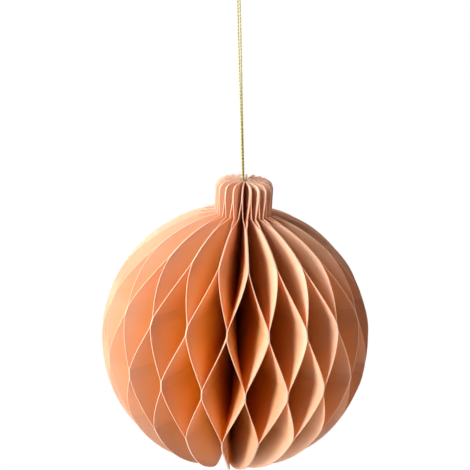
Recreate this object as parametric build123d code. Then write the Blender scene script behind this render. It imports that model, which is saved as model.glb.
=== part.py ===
"""Hanging honeycomb ball of folded cards, with a collar on top and a loop of cord.

Millimetres and degrees. +Z is up along the spine. The origin is the middle of the
collar's flat top, where the cord comes out. The closing cards face -Y.
"""

import math
import os

from build123d import *

# The cards, bound by their straight edge like the leaves of a pad
CARD_COUNT = 40  # even, because the cards work in pairs
CARD_THICKNESS = 0.3
SPINE_GAP = 0.03  # between neighbouring cards where they meet the binding

# The outline that every card is cut to: half a ball with half a collar
BALL_DIAMETER = 120.0
COLLAR_DIAMETER = 25.4
COLLAR_RISE = 13.2  # from the ball's pole to the collar's top
COLLAR_CORNER_RADIUS = 3.3
TIP_WIDTH = 1.2  # flat left at the lowest point of a card

# The cut that clears the foot of the spine on all but the two closing cards
FOOT_CUT_HEIGHT = 12.9  # from the ball's lower pole to where the cut meets the axis
FOOT_CUT_ANGLE = 41.3  # the cut's slope below level
FOOT_CORNER_RADIUS = 7.5

# The glue: each line joins a card to one neighbour, and the next line to the other
GLUE_PITCH = 26.3
GLUE_WIDTH = 4.4
LOWEST_GLUE_DROP = 32.3  # from the ball's centre down to the lowest line
COLLAR_GLUE_DEPTH = 6.2  # the collar's pairs are joined this far down from the top
NECK_CLOSE_DEPTH = 2.2  # the pairs have changed over this far below the neck

# The binding inside the spine
BINDING_WALL = 0.4
BINDING_CLEARANCE = 0.03
BINDING_TOP_DEPTH = 2.0  # below the collar's top

# The cord, doubled and pulled straight, with its ends knotted inside the binding
CORD_DIAMETER = 0.75
STRAND_GAP = 0.04  # between the two strands over their straight stretch
TAUT_LENGTH = 94.0  # the straight stretch, from the knot up
CORD_LEAN = 4.7  # degrees off the spine, towards -X
CORD_BEND_SHARE = 0.45  # of a bend's shorter run, taken up by its arc
KNOT_CLEARANCE = 0.1
KNOT_HEIGHT = 2.2
KNOT_CHAMFER = 0.4
KNOT_DEPTH = 9.0  # from the collar's top down to the middle of the knot's upper face

# Fineness of the folded cards
ARC_STEP = 7.8  # degrees of the ball's arc between two fold lines
CORNER_STEPS = 3  # facets round the collar's corner
QUARTER_TURN = 90.0
HEIGHT_DIGITS = 6  # fold heights that agree to this many decimals are one fold
FLAT_LIMIT = 1e-7  # four corners this close to a plane make one flat panel

# Worked out from the sizes above
BALL_RADIUS = BALL_DIAMETER / 2
COLLAR_RADIUS = COLLAR_DIAMETER / 2
CENTRE_Z = -(BALL_RADIUS + COLLAR_RISE)
CARD_ANGLE = 360.0 / CARD_COUNT
SPINE_RADIUS = CARD_COUNT * (CARD_THICKNESS + SPINE_GAP) / (2 * math.pi)
BINDING_RADIUS = SPINE_RADIUS - BINDING_CLEARANCE
BORE_RADIUS = BINDING_RADIUS - BINDING_WALL
NECK = math.sqrt(BALL_RADIUS**2 - COLLAR_RADIUS**2)  # height where collar and ball meet
COLLAR_TOP = -CENTRE_Z
FOOT_CUT_Z = FOOT_CUT_HEIGHT - BALL_RADIUS

STRAND_OFFSET = (CORD_DIAMETER + STRAND_GAP) / 2
KNOT_REACH = KNOT_HEIGHT * math.sin(math.radians(CORD_LEAN))  # how far its lean moves its foot
KNOT_RADIUS = (BORE_RADIUS - KNOT_CLEARANCE - KNOT_REACH) / math.cos(math.radians(CORD_LEAN))

# One strand's route in the loop: distance from the cord's middle line, and height above
# the straight stretch
LOOP_POINTS = [(3.2, 5.8), (1.75, 8.5)]


def arc_height(radius, latitude):
    """Height above a circle's centre of its point at a latitude in degrees."""
    return radius * math.sin(math.radians(latitude))


def foot_corner():
    """Centre of the rounded corner at the foot, and the heights where it meets cut and ball."""
    slope = math.radians(FOOT_CUT_ANGLE)
    reach = BALL_RADIUS - FOOT_CORNER_RADIUS
    turn = math.acos((-FOOT_CUT_Z * math.cos(slope) - FOOT_CORNER_RADIUS) / reach) - slope
    centre = reach * math.sin(turn), -reach * math.cos(turn)
    on_cut = centre[1] - FOOT_CORNER_RADIUS * math.cos(slope)
    on_ball = -BALL_RADIUS * math.cos(turn)
    return centre, on_cut, on_ball


def half_chord(radius, height):
    """Half the width of a circle at a height above its centre."""
    return math.sqrt(max(radius**2 - height**2, 0.0))


def outer_radius(height, full_foot):
    """Distance from the axis to the card's cut edge, at a height above the ball's centre."""
    corner_height = height - (COLLAR_TOP - COLLAR_CORNER_RADIUS)
    if corner_height > 0:
        return COLLAR_RADIUS - COLLAR_CORNER_RADIUS + half_chord(COLLAR_CORNER_RADIUS, corner_height)
    if height > NECK:
        return COLLAR_RADIUS
    centre, _, on_ball = foot_corner()
    if full_foot or height > on_ball:
        return half_chord(BALL_RADIUS, height)
    return centre[0] + half_chord(FOOT_CORNER_RADIUS, height - centre[1])


def inner_radius(height, full_foot):
    """Distance from the axis to the card's inner edge: the spine, or the foot cut below it."""
    if full_foot:
        return SPINE_RADIUS
    centre, on_cut, _ = foot_corner()
    if height < on_cut:
        return centre[0] - half_chord(FOOT_CORNER_RADIUS, height - centre[1])
    cut = (FOOT_CUT_Z - height) / math.tan(math.radians(FOOT_CUT_ANGLE))
    return max(SPINE_RADIUS, cut)


def lowest_height(full_foot):
    """Height of the card's flat tip."""
    if full_foot:
        return -half_chord(BALL_RADIUS, SPINE_RADIUS + TIP_WIDTH)
    return foot_corner()[0][1] - half_chord(FOOT_CORNER_RADIUS, TIP_WIDTH / 2)


def glue_keys():
    """Heights where a card touches a neighbour, with +1 for one neighbour and -1 for the other."""
    half = GLUE_WIDTH / 2
    neck_closed = NECK - NECK_CLOSE_DEPTH
    keys = []
    line, side = -LOWEST_GLUE_DROP, 1
    while line + half < neck_closed:
        keys += [(line - half, side), (line + half, side)]
        line, side = line + GLUE_PITCH, -side
    keys += [(neck_closed, -side), (COLLAR_TOP - COLLAR_GLUE_DEPTH, side), (COLLAR_TOP, side)]
    return keys


def lean_at(height):
    """Which neighbour the card leans to at a height, from -1 to +1."""
    keys = glue_keys()
    if height <= keys[0][0]:
        return keys[0][1]
    for (low, before), (high, after) in zip(keys, keys[1:]):
        if height <= high:
            return before + (after - before) * (height - low) / (high - low)
    return keys[-1][1]


def fold_heights(full_foot):
    """Heights of the fold lines, from the top of the card to its tip."""
    corner = COLLAR_TOP - COLLAR_CORNER_RADIUS
    heights = [COLLAR_TOP - COLLAR_GLUE_DEPTH, NECK]
    for step in range(CORNER_STEPS + 1):
        heights.append(corner + arc_height(COLLAR_CORNER_RADIUS, QUARTER_TURN * step / CORNER_STEPS))
    lowest = lowest_height(full_foot)
    stops = [NECK] + [height for height, _ in glue_keys() if lowest < height < NECK]
    if full_foot:
        stops.append(lowest)
    else:
        centre, on_cut, on_ball = foot_corner()
        level_cut = FOOT_CUT_Z - SPINE_RADIUS * math.tan(math.radians(FOOT_CUT_ANGLE))
        heights += [on_cut, (on_ball + on_cut) / 2, lowest]
        stops += [level_cut, on_cut]
    stops = sorted(set(stops))
    for low, high in zip(stops, stops[1:]):
        start = math.degrees(math.asin(low / BALL_RADIUS))
        turn = math.degrees(math.asin(high / BALL_RADIUS)) - start
        steps = math.ceil(turn / ARC_STEP)
        heights += [arc_height(BALL_RADIUS, start + turn * step / steps) for step in range(steps)]
    return sorted({round(height, HEIGHT_DIGITS) for height in heights}, reverse=True)


def card_section(height, side, full_foot):
    """Four corners of the card at one height: inner and outer edge on the -, then the + face."""
    lean = side * lean_at(height)
    angle = math.radians(lean * CARD_ANGLE / 2)
    along = Vector(math.sin(angle), -math.cos(angle), 0)
    across = Vector(math.cos(angle), math.sin(angle), 0)
    level = Vector(0, 0, height + CENTRE_Z)
    middle = -lean * CARD_THICKNESS / 2
    corners = []
    for face in (middle - CARD_THICKNESS / 2, middle + CARD_THICKNESS / 2):
        for radius in (inner_radius(height, full_foot), outer_radius(height, full_foot)):
            corners.append(level + along * radius + across * face)
    return corners


def panels(a, b, c, d):
    """One flat face through four points in order, or two where they don't lie in a plane."""
    normal = (b - a).cross(c - a).normalized()
    if abs(normal.dot(d - a)) < FLAT_LIMIT:
        return [Face(Wire.make_polygon([a, b, c, d]))]
    return [Face(Wire.make_polygon([a, b, c])), Face(Wire.make_polygon([a, c, d]))]


def folded_card(side, full_foot):
    """One card, folded from flat panels between its fold lines."""
    sections = [card_section(height, side, full_foot) for height in fold_heights(full_foot)]
    faces = []
    for upper, lower in zip(sections, sections[1:]):
        faces += panels(upper[0], lower[0], lower[1], upper[1])
        faces += panels(lower[3], lower[2], upper[2], upper[3])
        faces += panels(upper[1], lower[1], lower[3], upper[3])
        faces += panels(upper[2], lower[2], lower[0], upper[0])
    top, tip = sections[0], sections[-1]
    faces += panels(top[0], top[1], top[3], top[2])
    faces += panels(tip[0], tip[2], tip[3], tip[1])
    return Solid(Shell(faces))


def spine_binding():
    """The flexible strip that holds the cards' straight edges, curled into a tube."""
    top = -BINDING_TOP_DEPTH
    foot = CENTRE_Z + FOOT_CUT_Z
    tube = Cylinder(BINDING_RADIUS, top - foot) - Cylinder(BORE_RADIUS, top - foot)
    return Pos(0, 0, (top + foot) / 2) * tube


def in_cord_place(shape):
    """A shape made upright over the knot, moved into the spine and leant as the cord leans."""
    return Pos(0, 0, -KNOT_DEPTH) * Rot(0, -CORD_LEAN, 0) * shape


def cord_knot():
    """The barrel-shaped knot in the cord's two ends, glued in the binding's bore."""
    barrel = Cylinder(KNOT_RADIUS, KNOT_HEIGHT, align=(Align.CENTER, Align.CENTER, Align.MAX))
    return in_cord_place(chamfer(barrel.edges().filter_by(GeomType.CIRCLE), KNOT_CHAMFER))


def cord_route():
    """Points of the whole cord: up one strand, over the loop and down the other."""
    strand = [Vector(STRAND_OFFSET, 0, height) for height in (0, TAUT_LENGTH)]
    strand += [Vector(out, 0, TAUT_LENGTH + height) for out, height in LOOP_POINTS]
    other = [Vector(-point.X, 0, point.Z) for point in strand]
    return other + strand[::-1]


def bend_radii(points):
    """The largest tangent arc that each corner's two runs allow."""
    radii = []
    for before, corner, after in zip(points, points[1:], points[2:]):
        arriving, leaving = corner - before, after - corner
        half_turn = math.radians(arriving.get_angle(leaving)) / 2
        radii.append(CORD_BEND_SHARE * min(arriving.length, leaving.length) / math.tan(half_turn))
    return radii


def hanging_cord():
    """The doubled cord, as a plain round tube along its route."""
    points = cord_route()
    radii = bend_radii(points)
    print("cord bend radii:", [round(radius, 2) for radius in radii])
    path = FilletPolyline(*points, radius=radii)
    start = Plane(origin=points[0], z_dir=points[1] - points[0])
    cord = sweep(start * Circle(CORD_DIAMETER / 2), path=path)
    expected = math.pi * CORD_DIAMETER**2 / 4 * path.length
    print("cord length %.1f, volume %.2f, section times length %.2f" % (path.length, cord.volume, expected))
    return in_cord_place(cord)


def build():
    """Write every piece to its own file."""
    os.makedirs("parts", exist_ok=True)
    inner = {side: folded_card(side, False) for side in (1, -1)}
    closing = {side: folded_card(side, True) for side in (1, -1)}
    for number in range(1, CARD_COUNT + 1):
        side = 1 if number % 2 else -1
        shapes = closing if number in (1, CARD_COUNT) else inner
        card = Rot(0, 0, (number - 0.5) * CARD_ANGLE) * shapes[side]
        export_step(card, f"parts/card_{number:02d}.step")
    export_step(spine_binding(), "parts/spine_binding.step")
    export_step(cord_knot(), "parts/cord_knot.step")
    export_step(hanging_cord(), "parts/hanging_cord.step")


build()
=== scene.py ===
"""The looks of a hanging honeycomb ball: smooth paper cards, a twisted cord, light and camera.

Metres, +Z up. The origin is the middle of the collar's flat top, and the closing seam faces -Y.
"""
import math

import bpy
import numpy as np
from mathutils import Matrix, Vector


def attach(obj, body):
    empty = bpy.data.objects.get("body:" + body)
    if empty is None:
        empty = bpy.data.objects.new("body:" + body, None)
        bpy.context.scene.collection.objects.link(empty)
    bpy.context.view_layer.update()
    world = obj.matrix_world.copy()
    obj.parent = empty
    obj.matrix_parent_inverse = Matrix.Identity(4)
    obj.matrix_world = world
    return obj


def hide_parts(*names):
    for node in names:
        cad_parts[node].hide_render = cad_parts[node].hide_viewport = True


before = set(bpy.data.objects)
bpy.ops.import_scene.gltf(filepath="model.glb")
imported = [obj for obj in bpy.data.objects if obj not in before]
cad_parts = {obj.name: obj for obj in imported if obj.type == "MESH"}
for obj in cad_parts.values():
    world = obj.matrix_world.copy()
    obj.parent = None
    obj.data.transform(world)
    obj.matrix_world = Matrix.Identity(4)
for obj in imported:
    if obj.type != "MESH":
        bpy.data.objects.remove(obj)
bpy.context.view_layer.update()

MM = 0.001
BODY = "root"

# The cards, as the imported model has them
CARD_COUNT = 40
CARD_ANGLE = 2 * math.pi / CARD_COUNT
CARD_THICKNESS = 0.3 * MM
SPINE_GAP = 0.03 * MM
SPINE_RADIUS = CARD_COUNT * (CARD_THICKNESS + SPINE_GAP) / (2 * math.pi)
BALL_RADIUS = 60.0 * MM
COLLAR_RADIUS = 12.7 * MM
COLLAR_RISE = 13.2 * MM
COLLAR_CORNER = 3.3 * MM
FOOT_CUT_HEIGHT = 12.9 * MM
FOOT_CUT_SLOPE = math.radians(41.3)
FOOT_CORNER = 7.5 * MM
GLUE_PITCH = 26.3 * MM
GLUE_HALF = 2.2 * MM
LOWEST_GLUE = -32.3 * MM
COLLAR_GLUE_DEPTH = 6.2 * MM
NECK_CLOSE_DEPTH = 2.2 * MM

# Places on the cards: CENTRE is in the row frame, and the heights are above the ball's centre
CENTRE = Vector((0, 0, -(BALL_RADIUS + COLLAR_RISE)))
COLLAR_TOP = BALL_RADIUS + COLLAR_RISE
NECK = math.sqrt(BALL_RADIUS**2 - COLLAR_RADIUS**2)
FOOT_CUT_Z = FOOT_CUT_HEIGHT - BALL_RADIUS

# How the cards bend and were glued by hand
SEED = 7
EASE = 0.12  # how much of the way from a straight rim to a fully eased one
GLUE_DRIFT = 0.4 * MM
SEAM_DRIFT = math.radians(0.35)
SEAM_WAVES = 3
# One glued pair stands nearer the front between its top glue line and the neck
STRAY_SEAM = 3
STRAY_DRIFT = math.radians(-4.0)
STRAY_HEIGHTS = 44.0 * MM, 58.0 * MM
# Two glued pairs, by their seams, whose feet bend towards the closing seam:
# the height that each bends below, and its turn at the tip
BENT_FEET = {1: (-54.0 * MM, math.radians(-4.5)), CARD_COUNT - 1: (-35.0 * MM, math.radians(6.8))}

# How finely the cards' meshes are made
BALL_RINGS = 96
COLLAR_RINGS = 12
CORNER_RINGS = 9
RADIAL_STEPS = 8
SHARP_ANGLE = math.radians(35)
# At a foot the lowest ring is just above the tip. A cut foot has closer rings near it,
# and a full foot ends where the card is still this wide.
TIP_MARGIN = 0.01 * MM
TIP_RINGS = 6
TIP_HEIGHT = 1.2 * MM
FULL_TIP_WIDTH = 0.3 * MM

# The camera, from the ball's outline and the glued corners in the picture
PICTURE_SIDE = 470
FOCAL_PIXELS = 1861.0
BALL_CENTRE_PIXEL = (235.4, 335.8)
CAMERA_DISTANCE = 14.0 * BALL_RADIUS
CAMERA_ELEVATION = math.radians(17.3)
CAMERA_TURN = math.radians(-5.25)
CAMERA_ROLL = math.radians(3.4)
SENSOR_WIDTH = 36.0  # in millimetres, and so is the lens

# The cord: its route over the knot is upright, and then leans into place
CORD_DIAMETER = 0.75 * MM
CORD_LEAN = math.radians(4.7)
KNOT_DEPTH = 9.0 * MM
PLIES = 2
PLY_RADIUS = 0.205 * MM
TWIST_PITCH = 3.0 * MM
RINGS_PER_TURN = 26
PLY_SIDES = 8
ROUTE_STEPS = 24
# Across, behind and above the knot's middle, in millimetres, for one strand
STRAND_POINTS = [
    (0.30, 0.28, 0.0),
    (0.30, 0.28, 20.0),
    (0.38, 0.18, 45.0),
    (0.52, 0.06, 70.0),
    (0.50, 0.0, 88.0),
    (0.47, 0.0, 94.0),
    (3.2, 0.0, 99.8),
    (1.75, 0.0, 102.5),
]

# Materials: most of a noise texture's values lie in these ranges
NOISE_RANGE = 0.3, 0.7
CLOUD_RANGE = 0.35, 0.65
# Distance from the ball's centre over which painted shade, deep in colour inside, fades to painted
# light, pale near the rims
PAINTED_SHADE_RANGE = 37.0 * MM, 61.5 * MM
PAPER_STAIN = 0.1

# The room: the camera sees the floor as white, with a little of its lit colour for the shadow
FLOOR_HALF = 8.0
FLOOR_DROP = 0.6
FLOOR_GREY = 0.6
WHITE_SHARE = 0.95
WHITE_STRENGTH = 1.05
ALL_ROUND_LIGHT = 0.08
LAMP_DISTANCE = 1.2


def add_camera():
    """A camera that sees the ball where the picture has it."""
    turn = Matrix.Rotation(CAMERA_TURN, 3, "Z")
    view = turn @ Vector((0, math.cos(CAMERA_ELEVATION), -math.sin(CAMERA_ELEVATION)))
    level_right = turn @ Vector((1, 0, 0))
    level_up = level_right.cross(view)
    right = math.cos(CAMERA_ROLL) * level_right + math.sin(CAMERA_ROLL) * level_up
    up = math.cos(CAMERA_ROLL) * level_up - math.sin(CAMERA_ROLL) * level_right
    per_pixel = CAMERA_DISTANCE / FOCAL_PIXELS
    middle = PICTURE_SIDE / 2
    across = (BALL_CENTRE_PIXEL[0] - middle) * per_pixel
    below = (BALL_CENTRE_PIXEL[1] - middle) * per_pixel
    place = CENTRE - view * CAMERA_DISTANCE - right * across + up * below
    data = bpy.data.cameras.new("camera")
    data.sensor_width = SENSOR_WIDTH
    data.lens = FOCAL_PIXELS * SENSOR_WIDTH / PICTURE_SIDE
    data.clip_start = 0.01
    data.clip_end = 50.0
    camera = bpy.data.objects.new("camera", data)
    camera.matrix_world = Matrix.Translation(place) @ Matrix((right, up, -view)).transposed().to_4x4()
    bpy.context.scene.collection.objects.link(camera)
    bpy.context.scene.camera = camera


def add_object(name, mesh, materials):
    """A new piece from a mesh, with its materials, riding on the one body."""
    piece = bpy.data.objects.new(name, mesh)
    bpy.context.scene.collection.objects.link(piece)
    for material in materials:
        mesh.materials.append(material)
    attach(piece, BODY)
    return piece


# Materials
class Nodes:
    """A material's node tree, with short calls to add and link nodes."""

    def __init__(self, name):
        self.material = bpy.data.materials.new(name)
        self.material.use_nodes = True
        self.tree = self.material.node_tree
        self.tree.nodes.clear()
        self.output = self.add("ShaderNodeOutputMaterial")

    def put(self, value, socket):
        """Link another node's output to a socket, or set the socket to a plain value."""
        if isinstance(value, bpy.types.NodeSocket):
            self.tree.links.new(value, socket)
        else:
            socket.default_value = value

    def add(self, kind, settings=None, **inputs):
        """A new node. Inputs go by their names, with _ for a space."""
        node = self.tree.nodes.new(kind)
        for key, value in (settings or {}).items():
            setattr(node, key, value)
        for key, value in inputs.items():
            self.put(value, node.inputs[key.replace("_", " ")])
        return node

    def mix_colour(self, factor, a, b):
        """A mix of two colours, whose sockets in the node are numbers 6 and 7."""
        node = self.add("ShaderNodeMix", {"data_type": "RGBA"})
        for number, value in ((0, factor), (6, a), (7, b)):
            self.put(value, node.inputs[number])
        return node.outputs[2]

    def mix_shader(self, factor, a, b):
        """A mix of two shaders: a at factor 0, b at factor 1."""
        node = self.add("ShaderNodeMixShader", Fac=factor)
        self.put(a, node.inputs[1])
        self.put(b, node.inputs[2])
        return node.outputs[0]

    def ranged(self, value, low, high, to_low, to_high):
        """A value carried from one range to another, and kept inside it."""
        node = self.add("ShaderNodeMapRange", Value=value)
        self.put(low, node.inputs["From Min"])
        self.put(high, node.inputs["From Max"])
        self.put(to_low, node.inputs["To Min"])
        self.put(to_high, node.inputs["To Max"])
        return node.outputs[0]

    def math(self, operation, a, b=0.0, clamped=False):
        """One step of arithmetic, on one or two values."""
        node = self.add("ShaderNodeMath", {"operation": operation, "use_clamp": clamped})
        self.put(a, node.inputs[0])
        self.put(b, node.inputs[1])
        return node.outputs[0]

    def finish(self, shader):
        """The material, once its surface has its shader."""
        self.put(shader, self.output.inputs["Surface"])
        return self.material


def paper(name, pale, deep, glow, glow_share):
    """Heavy dyed paper, with painted shade deep in colour inside and painted light pale near the rims,
    fine fibres and a little light through it.
    """
    nodes = Nodes(name)
    place = nodes.add("ShaderNodeTexCoord").outputs["Object"]
    from_centre = nodes.add("ShaderNodeVectorMath", {"operation": "DISTANCE"})
    nodes.put(place, from_centre.inputs[0])
    nodes.put(CENTRE, from_centre.inputs[1])
    # Painted shade and light: deep colour inside the ball and pale colour near the rims, in place of the
    # shade between the cards and the light on their rims
    inside = nodes.ranged(from_centre.outputs["Value"], *PAINTED_SHADE_RANGE, 1.0, 0.0)
    cloud = nodes.add("ShaderNodeTexNoise", Vector=place, Scale=90.0, Detail=3.0)
    fibre = nodes.add("ShaderNodeTexNoise", Vector=place, Scale=2600.0, Detail=4.0, Distortion=1.5)
    grain = nodes.add("ShaderNodeTexNoise", Vector=place, Scale=900.0, Detail=5.0)
    cloudy = nodes.ranged(cloud.outputs["Fac"], *CLOUD_RANGE, 0.0, PAPER_STAIN)
    speckled = nodes.ranged(fibre.outputs["Fac"], *NOISE_RANGE, 0.0, PAPER_STAIN)
    uneven = nodes.math("ADD", cloudy, speckled, clamped=True)
    # Random stains, plus the painted shade and light by distance from the ball's centre
    stain_and_painted_shade = nodes.math("ADD", uneven, inside, clamped=True)
    relief = nodes.math("ADD", fibre.outputs["Fac"], grain.outputs["Fac"], clamped=True)
    bump = nodes.add("ShaderNodeBump", Strength=0.25, Distance=0.03 * MM, Height=relief)
    front = nodes.add(
        "ShaderNodeBsdfPrincipled",
        Base_Color=nodes.mix_colour(stain_and_painted_shade, pale, deep),
        Roughness=nodes.ranged(grain.outputs["Fac"], *NOISE_RANGE, 0.5, 0.62),
        Specular_IOR_Level=0.5,
        Normal=bump.outputs[0],
    )
    through = nodes.add("ShaderNodeBsdfTranslucent", Color=glow, Normal=bump.outputs[0])
    return nodes.finish(nodes.mix_shader(glow_share, front.outputs[0], through.outputs[0]))


def card_face():
    """The wide faces: painted light makes them pale near the rim, and painted shade deep orange inside.
    """
    pale, deep, glow = (0.98, 0.69, 0.53, 1), (0.96, 0.49, 0.08, 1), (0.98, 0.52, 0.04, 1)
    return paper("card_face", pale, deep, glow, glow_share=0.30)


def card_edge():
    """The cut edges: less dyed than the faces, with the same painted shade inside and painted light near
    the rims.
    """
    pale, deep, glow = (0.78, 0.54, 0.40, 1), (0.78, 0.47, 0.28, 1), (0.95, 0.5, 0.25, 1)
    return paper("card_edge", pale, deep, glow, glow_share=0.18)


def gilt_thread():
    """Gilt yarn: slanting streaks where its plies catch the light, and a fine unevenness."""
    dark, light = (0.34, 0.28, 0.05, 1), (0.70, 0.62, 0.27, 1)
    nodes = Nodes("gilt_thread")
    place = nodes.add("ShaderNodeTexCoord").outputs["Object"]
    upright = nodes.add("ShaderNodeMapping", Vector=place, Rotation=(0, CORD_LEAN, 0))
    nodes.put((KNOT_DEPTH * math.sin(CORD_LEAN), 0, 0), upright.inputs["Location"])
    turn = nodes.add("ShaderNodeTexGradient", {"gradient_type": "RADIAL"}, Vector=upright.outputs[0])
    height = nodes.add("ShaderNodeSeparateXYZ", Vector=upright.outputs[0]).outputs["Z"]
    twist = nodes.math("ADD", nodes.math("DIVIDE", height, TWIST_PITCH), turn.outputs["Fac"])
    wave = nodes.math("SINE", nodes.math("MULTIPLY", twist, 2 * math.pi * PLIES))
    fine = nodes.add("ShaderNodeTexNoise", Vector=upright.outputs[0], Scale=6000.0, Detail=2.0)
    uneven = nodes.math("ADD", wave, nodes.ranged(fine.outputs["Fac"], *NOISE_RANGE, -0.5, 0.5))
    streak = nodes.ranged(uneven, -0.7, 0.7, 0.0, 1.0)
    bump = nodes.add("ShaderNodeBump", Strength=0.3, Distance=0.02 * MM, Height=fine.outputs["Fac"])
    shader = nodes.add(
        "ShaderNodeBsdfPrincipled",
        Base_Color=nodes.mix_colour(streak, dark, light),
        Roughness=nodes.ranged(fine.outputs["Fac"], *NOISE_RANGE, 0.4, 0.6),
        Specular_IOR_Level=0.3,
        Normal=bump.outputs[0],
    )
    return nodes.finish(shader.outputs[0])


def binding_cloth():
    """Blue-grey bookbinder's cloth with a fine plain weave."""
    nodes = Nodes("binding_cloth")
    place = nodes.add("ShaderNodeTexCoord").outputs["Object"]
    weave = nodes.add("ShaderNodeTexChecker", Vector=place, Scale=2400.0)
    wear = nodes.add("ShaderNodeTexNoise", Vector=place, Scale=700.0, Detail=3.0)
    light = nodes.mix_colour(wear.outputs["Fac"], (0.36, 0.38, 0.44, 1), (0.55, 0.57, 0.63, 1))
    dark = nodes.mix_colour(wear.outputs["Fac"], (0.30, 0.32, 0.38, 1), (0.46, 0.48, 0.54, 1))
    bump = nodes.add("ShaderNodeBump", Strength=0.4, Distance=0.05 * MM, Height=weave.outputs["Fac"])
    shader = nodes.add(
        "ShaderNodeBsdfPrincipled",
        Base_Color=nodes.mix_colour(weave.outputs["Fac"], dark, light),
        Roughness=nodes.ranged(wear.outputs["Fac"], *NOISE_RANGE, 0.8, 0.95),
        Normal=bump.outputs[0],
    )
    return nodes.finish(shader.outputs[0])


# The cord
def in_cord_place(across, behind, above):
    """A point over the knot, in the row frame, with the cord's lean."""
    x = across * math.cos(CORD_LEAN) - above * math.sin(CORD_LEAN)
    z = across * math.sin(CORD_LEAN) + above * math.cos(CORD_LEAN) - KNOT_DEPTH
    return Vector((x, behind, z))


def cord_line():
    """The cord's smooth middle line, read from one spline through the given route."""
    up = [(-across, -behind, above) for across, behind, above in STRAND_POINTS]
    route = up + STRAND_POINTS[::-1]
    curve = bpy.data.curves.new("cord_route", "CURVE")
    curve.dimensions = "3D"
    spline = curve.splines.new("NURBS")
    spline.points.add(len(route) - 1)
    for point, (across, behind, above) in zip(spline.points, route):
        point.co = (*in_cord_place(across * MM, behind * MM, above * MM), 1.0)
    spline.order_u = 3
    spline.use_endpoint_u = True
    spline.resolution_u = ROUTE_STEPS
    carrier = bpy.data.objects.new("cord_route", curve)
    mesh = bpy.data.meshes.new_from_object(carrier)
    line = np.array([vertex.co for vertex in mesh.vertices], float)
    bpy.data.objects.remove(carrier)
    bpy.data.curves.remove(curve)
    bpy.data.meshes.remove(mesh)
    return line


def evenly(line, step):
    """Points along a line, about a step apart, and how far along it each one is."""
    lengths = np.concatenate([[0.0], np.cumsum(np.linalg.norm(np.diff(line, axis=0), axis=1))])
    at = np.linspace(0, lengths[-1], max(2, round(lengths[-1] / step) + 1))
    points = np.stack([np.interp(at, lengths, line[:, axis]) for axis in range(3)], axis=1)
    return points, at


def side_ways(points):
    """Two directions square to a line at each of its points, carried along without twist."""
    ahead = np.gradient(points, axis=0)
    ahead /= np.linalg.norm(ahead, axis=1, keepdims=True)
    first = np.zeros_like(points)
    first[0] = np.cross(ahead[0], (0, 1, 0))
    first[0] /= np.linalg.norm(first[0])
    for i in range(1, len(points)):
        first[i] = first[i - 1] - ahead[i] * (first[i - 1] @ ahead[i])
        first[i] /= np.linalg.norm(first[i])
    return first, np.cross(ahead, first)


def tube(points, radius, sides):
    """Vertices and faces of a closed round tube along points."""
    first, second = side_ways(points)
    turns = (2 * math.pi * np.arange(sides) / sides)[None, :, None]
    ring = np.cos(turns) * first[:, None, :] + np.sin(turns) * second[:, None, :]
    vertices = (points[:, None, :] + radius * ring).reshape(-1, 3)
    faces = []
    for i in range(len(points) - 1):
        for j in range(sides):
            k = (j + 1) % sides
            faces.append((i * sides + j, i * sides + k, (i + 1) * sides + k, (i + 1) * sides + j))
    faces.append(tuple(range(sides))[::-1])
    faces.append(tuple((len(points) - 1) * sides + j for j in range(sides)))
    return vertices, faces


def add_cord(thread):
    """Two plies twisted to the left round the cord's line."""
    line, at = evenly(cord_line(), TWIST_PITCH / RINGS_PER_TURN)
    first, second = side_ways(line)
    offset = CORD_DIAMETER / 2 - PLY_RADIUS
    vertices, faces = [], []
    for ply in range(PLIES):
        angle = (2 * math.pi * (ply / PLIES - at / TWIST_PITCH))[:, None]
        middle = line + offset * (np.cos(angle) * first + np.sin(angle) * second)
        points, sides = tube(middle, PLY_RADIUS, PLY_SIDES)
        faces += [tuple(index + len(vertices) for index in face) for face in sides]
        vertices += points.tolist()
    mesh = bpy.data.meshes.new("twisted_cord")
    mesh.from_pydata(vertices, [], faces)
    mesh.polygons.foreach_set("use_smooth", [True] * len(mesh.polygons))
    cord = add_object("twisted_cord", mesh, [thread])
    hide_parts("hanging_cord")


# The cards
def half_chord(radius, height):
    """Half the width of a circle at heights above its centre."""
    return np.sqrt(np.maximum(radius**2 - height**2, 0.0))


def foot_corner():
    """Centre of the rounded corner at the foot, and the heights where it meets cut and ball."""
    reach = BALL_RADIUS - FOOT_CORNER
    turn = math.acos((-FOOT_CUT_Z * math.cos(FOOT_CUT_SLOPE) - FOOT_CORNER) / reach) - FOOT_CUT_SLOPE
    centre = reach * math.sin(turn), -reach * math.cos(turn)
    return centre, centre[1] - FOOT_CORNER * math.cos(FOOT_CUT_SLOPE), -BALL_RADIUS * math.cos(turn)


def outer_radius(height, full_foot):
    """Distance from the axis to the card's outer edge."""
    centre, _, on_ball = foot_corner()
    ball = half_chord(BALL_RADIUS, height)
    corner = centre[0] + half_chord(FOOT_CORNER, height - centre[1])
    below_neck = np.where(full_foot | (height > on_ball), ball, corner)
    top_corner = half_chord(COLLAR_CORNER, np.maximum(height - (COLLAR_TOP - COLLAR_CORNER), 0))
    return np.where(height > NECK, COLLAR_RADIUS - COLLAR_CORNER + top_corner, below_neck)


def inner_radius(height, full_foot):
    """Distance from the axis to the card's inner edge: the spine, or the foot cut below it."""
    centre, on_cut, _ = foot_corner()
    cut = (FOOT_CUT_Z - height) / math.tan(FOOT_CUT_SLOPE)
    corner = centre[0] - half_chord(FOOT_CORNER, height - centre[1])
    inner = np.where(height < on_cut, corner, np.maximum(SPINE_RADIUS, cut))
    return np.where(full_foot, SPINE_RADIUS, inner)


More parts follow.
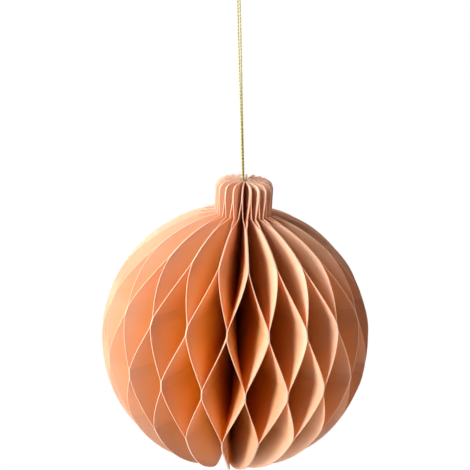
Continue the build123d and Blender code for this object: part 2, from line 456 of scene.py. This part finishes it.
def glue_keys():
    """Heights where a card is held, in pairs, and to which side: +1, -1, or 0 for upright."""
    neck_closed = NECK - NECK_CLOSE_DEPTH
    keys = []
    line, side = LOWEST_GLUE, 1
    while line + GLUE_HALF < neck_closed:
        keys += [(line - GLUE_HALF, side), (line + GLUE_HALF, side)]
        line, side = line + GLUE_PITCH, -side
    keys += [(neck_closed, -side), (NECK, 0)]
    keys += [(COLLAR_TOP - COLLAR_GLUE_DEPTH, side), (COLLAR_TOP, side)]
    return keys


def turned_way(number):
    """+1 for odd cards and -1 for even ones, which lean the other way."""
    return 1 if number % 2 else -1


class HandWork:
    """Small errors of hand gluing, shared by the two cards that meet at each seam."""

    def __init__(self):
        rng = np.random.default_rng(SEED)
        self.drift = rng.uniform(-GLUE_DRIFT, GLUE_DRIFT, (CARD_COUNT, len(glue_keys())))
        self.size = rng.uniform(0.3, 1.0, (CARD_COUNT, SEAM_WAVES)) * SEAM_DRIFT / SEAM_WAVES
        self.start = rng.uniform(0, 2 * math.pi, (CARD_COUNT, SEAM_WAVES))

    def keys(self, number):
        """The glue keys of one card. Below the neck, both keys of a pair move as their seam does."""
        keys = []
        for i, (height, side) in enumerate(glue_keys()):
            seam = (number if side * turned_way(number) > 0 else number - 1) % CARD_COUNT
            if height < NECK - 2 * NECK_CLOSE_DEPTH:
                height += self.drift[seam, i // 2 * 2]
            keys.append((height, side))
        return keys

    def seam(self, number, height):
        """The angle of the seam after a card, at heights from the ball's centre."""
        angle = np.full_like(height, CARD_ANGLE * number)
        if number % CARD_COUNT:
            fade = np.clip((NECK - height) / BALL_RADIUS, 0, 1)
            for wave in range(SEAM_WAVES):
                turn = (wave + 1) * height / BALL_RADIUS * math.pi / 2 + self.start[number, wave]
                angle += fade * self.size[number, wave] * np.sin(turn)
        if number == STRAY_SEAM:
            low, high = STRAY_HEIGHTS
            share = np.clip((height - low) / (high - low), 0, 1)
            angle += STRAY_DRIFT * np.sin(math.pi * share) ** 2
        if number in BENT_FEET:
            start, tip_turn = BENT_FEET[number]
            angle += tip_turn * np.clip((start - height) / (start + BALL_RADIUS), 0, 1)
        return angle


def lean(keys, height):
    """Which side a card leans to at its heights, from -1 to +1, eased as a bent card is."""
    result = np.full_like(height, keys[0][1])
    for (low, before), (high, after) in zip(keys, keys[1:]):
        share = np.clip((height - low) / (high - low), 0, 1)
        eased = share * share * (3 - 2 * share)
        share = share + EASE * (eased - share)
        result = np.where(height >= low, before + (after - before) * share, result)
    return result


def card_heights(keys, full_foot):
    """Heights of the rings of a card's mesh, from its tip to the collar's top."""
    corner_centre, on_cut, on_ball = foot_corner()
    if full_foot:
        tip = -float(half_chord(BALL_RADIUS, SPINE_RADIUS + FULL_TIP_WIDTH))
    else:
        tip = corner_centre[1] - FOOT_CORNER
    lowest = tip + TIP_MARGIN
    low_turn, high_turn = math.asin(lowest / BALL_RADIUS), math.asin(NECK / BALL_RADIUS)
    ball = BALL_RADIUS * np.sin(np.linspace(low_turn, high_turn, BALL_RINGS))
    stops = [height for height, _ in keys if lowest < height < NECK]
    if not full_foot:
        stops += [on_cut, on_ball, FOOT_CUT_Z - SPINE_RADIUS * math.tan(FOOT_CUT_SLOPE)]
        stops += list(lowest + TIP_HEIGHT * np.linspace(0, 1, TIP_RINGS)[1:] ** 2)
    collar = np.linspace(NECK, COLLAR_TOP - COLLAR_CORNER, COLLAR_RINGS)
    rounded = COLLAR_TOP - COLLAR_CORNER * (1 - np.sin(np.linspace(0, math.pi / 2, CORNER_RINGS)))
    # Rings that come within a tenth of a micrometre of each other become one
    return np.unique(np.round(np.concatenate([ball, stops, collar, rounded]), 7))


def card_points(number, work):
    """Points of a card's two faces, by face, height and distance from the axis."""
    full_foot = number in (1, CARD_COUNT)
    keys = work.keys(number)
    height = card_heights(keys, full_foot)
    turn = turned_way(number) * lean(keys, height)
    before, after = work.seam(number - 1, height), work.seam(number, height)
    angle = before + (after - before) * (1 + turn) / 2
    along = np.stack([np.sin(angle), -np.cos(angle), np.zeros_like(angle)], axis=1)
    across = np.stack([np.cos(angle), np.sin(angle), np.zeros_like(angle)], axis=1)
    inner = inner_radius(height, full_foot)
    outer = outer_radius(height, full_foot)
    share = np.linspace(0, 1, RADIAL_STEPS + 1)
    reach = inner[:, None] + (outer - inner)[:, None] * share[None, :]
    faces = []
    for face in (-0.5, 0.5):
        offset = (face - turn / 2) * CARD_THICKNESS
        points = along[:, None, :] * reach[:, :, None] + (across * offset[:, None])[:, None, :]
        points[:, :, 2] += (height + CENTRE.z)[:, None]
        faces.append(points)
    return np.stack(faces)


def card_mesh(name, number, work):
    """One card: two wide faces in the first material, and its edges in the second."""
    points = card_points(number, work)
    near, far = np.arange(points[..., 0].size).reshape(points.shape[:3])
    wide = [
        (near[:-1, :-1], near[:-1, 1:], near[1:, 1:], near[1:, :-1]),
        (far[:-1, :-1], far[1:, :-1], far[1:, 1:], far[:-1, 1:]),
    ]
    edges = [
        (near[:-1, -1], far[:-1, -1], far[1:, -1], near[1:, -1]),
        (near[:-1, 0], near[1:, 0], far[1:, 0], far[:-1, 0]),
        (near[-1, :-1], near[-1, 1:], far[-1, 1:], far[-1, :-1]),
        (near[0, :-1], far[0, :-1], far[0, 1:], near[0, 1:]),
    ]
    faces, kinds = [], []
    for kind, strips in enumerate((wide, edges)):
        for corners in strips:
            quads = np.stack(corners, axis=-1).reshape(-1, 4).tolist()
            faces += quads
            kinds += [kind] * len(quads)
    mesh = bpy.data.meshes.new(name)
    mesh.from_pydata(points.reshape(-1, 3).tolist(), [], faces)
    mesh.polygons.foreach_set("material_index", kinds)
    mesh.polygons.foreach_set("use_smooth", [True] * len(faces))
    mesh.set_sharp_from_angle(angle=SHARP_ANGLE)
    return mesh


def add_cards():
    """Every card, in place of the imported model's faceted one."""
    work = HandWork()
    materials = [card_face(), card_edge()]
    for number in range(1, CARD_COUNT + 1):
        node = f"card_{number:02d}"
        name = "paper_" + node
        card = add_object(name, card_mesh(name, number, work), materials)
        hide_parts(node)


def dress_nodes(thread):
    """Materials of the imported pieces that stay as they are."""
    for node, material in (("spine_binding", binding_cloth()), ("cord_knot", thread)):
        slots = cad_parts[node].data.materials
        slots.clear()
        slots.append(material)


# The room
def white_in_camera(nodes, lit):
    """A shader that the camera sees as nearly white, and that else is lit."""
    path = nodes.add("ShaderNodeLightPath")
    seen = nodes.math("MAXIMUM", path.outputs["Is Camera Ray"], path.outputs["Is Transmission Ray"])
    share = nodes.ranged(seen, 0.0, 1.0, 0.0, WHITE_SHARE)
    white = nodes.add("ShaderNodeEmission", Strength=WHITE_STRENGTH)
    return nodes.mix_shader(share, lit, white.outputs[0])


def add_floor():
    """A wide pale floor, well below the hanging ball."""
    nodes = Nodes("pale_floor")
    matt = nodes.add("ShaderNodeBsdfDiffuse", Color=(FLOOR_GREY, FLOOR_GREY, FLOOR_GREY, 1))
    material = nodes.finish(white_in_camera(nodes, matt.outputs[0]))
    half, level = FLOOR_HALF, CENTRE.z - BALL_RADIUS - FLOOR_DROP
    corners = [(-half, -half, level), (half, -half, level), (half, half, level), (-half, half, level)]
    mesh = bpy.data.meshes.new("floor")
    mesh.from_pydata(corners, [], [(0, 1, 2, 3)])
    mesh.materials.append(material)
    floor = bpy.data.objects.new("floor", mesh)
    bpy.context.scene.collection.objects.link(floor)


def add_world():
    """Soft light from all round, and plain white where the camera looks past the floor."""
    world = bpy.data.worlds.new("studio")
    bpy.context.scene.world = world
    world.use_nodes = True
    tree = world.node_tree
    tree.nodes.clear()
    path = tree.nodes.new("ShaderNodeLightPath")
    mix = tree.nodes.new("ShaderNodeMixShader")
    output = tree.nodes.new("ShaderNodeOutputWorld")
    tree.links.new(path.outputs["Is Camera Ray"], mix.inputs[0])
    for socket, strength in ((mix.inputs[1], ALL_ROUND_LIGHT), (mix.inputs[2], 1.0)):
        background = tree.nodes.new("ShaderNodeBackground")
        background.inputs["Color"].default_value = (1.0, 1.0, 1.0, 1)
        background.inputs["Strength"].default_value = strength
        tree.links.new(background.outputs[0], socket)
    tree.links.new(mix.outputs[0], output.inputs["Surface"])


def add_lamp(name, azimuth, elevation, size, power):
    """A soft lamp aimed at the ball: azimuth in degrees right of the front, size as width and height."""
    turn, rise = math.radians(azimuth), math.radians(elevation)
    away = Vector((math.sin(turn) * math.cos(rise), -math.cos(turn) * math.cos(rise), math.sin(rise)))
    data = bpy.data.lights.new(name, "AREA")
    data.shape = "RECTANGLE"
    data.size, data.size_y = size
    data.energy = power
    lamp = bpy.data.objects.new(name, data)
    lamp.location = CENTRE + away * LAMP_DISTANCE
    lamp.rotation_euler = away.to_track_quat("Z", "Y").to_euler()
    bpy.context.scene.collection.objects.link(lamp)


add_camera()
gilt = gilt_thread()
add_cord(gilt)
add_cards()
dress_nodes(gilt)
add_floor()
add_world()
add_lamp("key_low", azimuth=-48, elevation=-22, size=(0.24, 0.48), power=4.4)
add_lamp("key", azimuth=-44, elevation=8, size=(0.24, 0.48), power=16.0)
add_lamp("key_high", azimuth=-72, elevation=40, size=(0.3, 0.48), power=9.5)
add_lamp("back_left", azimuth=-118, elevation=35, size=(0.48, 0.48), power=11)
add_lamp("right_fill", azimuth=90, elevation=8, size=(0.48, 0.48), power=9)

bpy.context.scene.view_settings.view_transform = "Standard"
